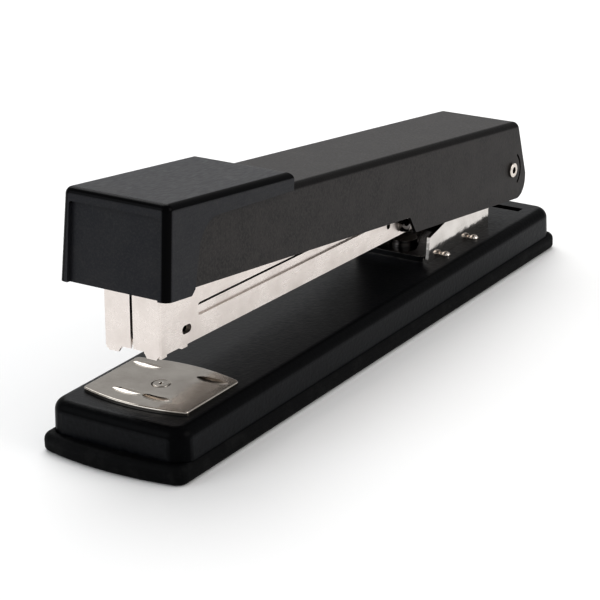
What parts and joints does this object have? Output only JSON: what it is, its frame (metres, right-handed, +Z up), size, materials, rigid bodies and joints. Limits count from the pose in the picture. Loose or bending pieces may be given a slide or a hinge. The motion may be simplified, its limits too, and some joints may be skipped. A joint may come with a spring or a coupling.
{
  "type": "stapler",
  "caption": "Full-strip desk stapler with a steel cover, moulded head cap, swinging magazine, spring follower and a turning anvil on a rubber-footed base.",
  "frame": {"origin": "on the table under the middle of the base: the centre of the bounding box's bottom face", "axes": "+Z up; the nose and the anvil are at -Y and the hinge is at +Y; +X is to the right when looking along +Y, so it runs across the stapler"},
  "size_m": [0.0434, 0.2042, 0.0681],
  "materials": {
    "black_rubber": "moulded, matt with a faint sheen",
    "base_paint": "satin black enamel",
    "cover_paint": "fine-textured black paint, satin",
    "cap_plastic": "moulded, soft gloss on the edges",
    "bracket_chrome": "bright plated",
    "bright_rivet": "bright",
    "dark_chrome": "black nickel, polished",
    "dark_spring_steel": "blued, glossy",
    "anvil_nickel": "nickel plate, soft brushed",
    "sheath_nickel": "bright nickel plate",
    "plain_steel": "drawn steel",
    "spring_steel": "music wire"
  },
  "bodies": {
    "root": {"rubber_base": "black_rubber", "base_shell": "base_paint", "hinge_bracket": "bracket_chrome", "bracket_rivets": "bright_rivet", "lift_spring": "dark_spring_steel", "spring_washer": "dark_spring_steel", "spring_rivet": "dark_chrome", "pivot_pin": "bright_rivet", "pivot_bushes": "plain_steel", "anvil_spring": "spring_steel"},
    "anvil_lifter": {"anvil_button": "plain_steel"},
    "anvil": {"anvil_plate": "anvil_nickel", "anvil_post": "anvil_nickel"},
    "magazine": {"magazine_sheath": "sheath_nickel", "staple_channel": "sheath_nickel", "core_rail": "plain_steel", "rod_supports": "plain_steel", "guide_rod": "plain_steel", "pusher_spring": "spring_steel", "side_studs": "dark_chrome", "return_spring": "spring_steel"},
    "pusher": {"pusher": "plain_steel"},
    "handle": {"handle_cover": "cover_paint", "head_cap": "cap_plastic", "driver_blade": "plain_steel", "driver_holder": "plain_steel", "driver_rivets": "plain_steel"}
  },
  "joints": [
    {"name": "magazine_swing", "type": "hinge", "parent": "root", "child": "magazine", "pos_m": [0, 0.08318, 0.02842], "axis": [-1, 0, 0], "range_deg": [-3.5, 110], "stiffness_Nm_per_rad": 1.2, "springref_deg": 8.19},
    {"name": "handle_swing", "type": "hinge", "parent": "magazine", "child": "handle", "pos_m": [0, 0.08318, 0.02842], "axis": [-1, 0, 0], "range_deg": [-5, 65], "stiffness_Nm_per_rad": 1.2, "springref_deg": 4.01},
    {"name": "pusher_slide", "type": "slide", "parent": "magazine", "child": "pusher", "axis": [0, 0.9996, -0.0295], "range_m": [0, 0.105], "stiffness_N_per_m": 10, "springref_m": -0.15, "deforming": ["pusher_spring"]},
    {"name": "anvil_lift", "type": "slide", "parent": "root", "child": "anvil_lifter", "axis": [0, 0, 1], "range_m": [0, 0.003], "stiffness_N_per_m": 400, "springref_m": -0.003, "deforming": ["anvil_spring"]},
    {"name": "anvil_turn", "type": "hinge", "parent": "anvil_lifter", "child": "anvil", "pos_m": [0, -0.0776, 0.0146], "axis": [0, 0, 1], "continuous": true}
  ]
}
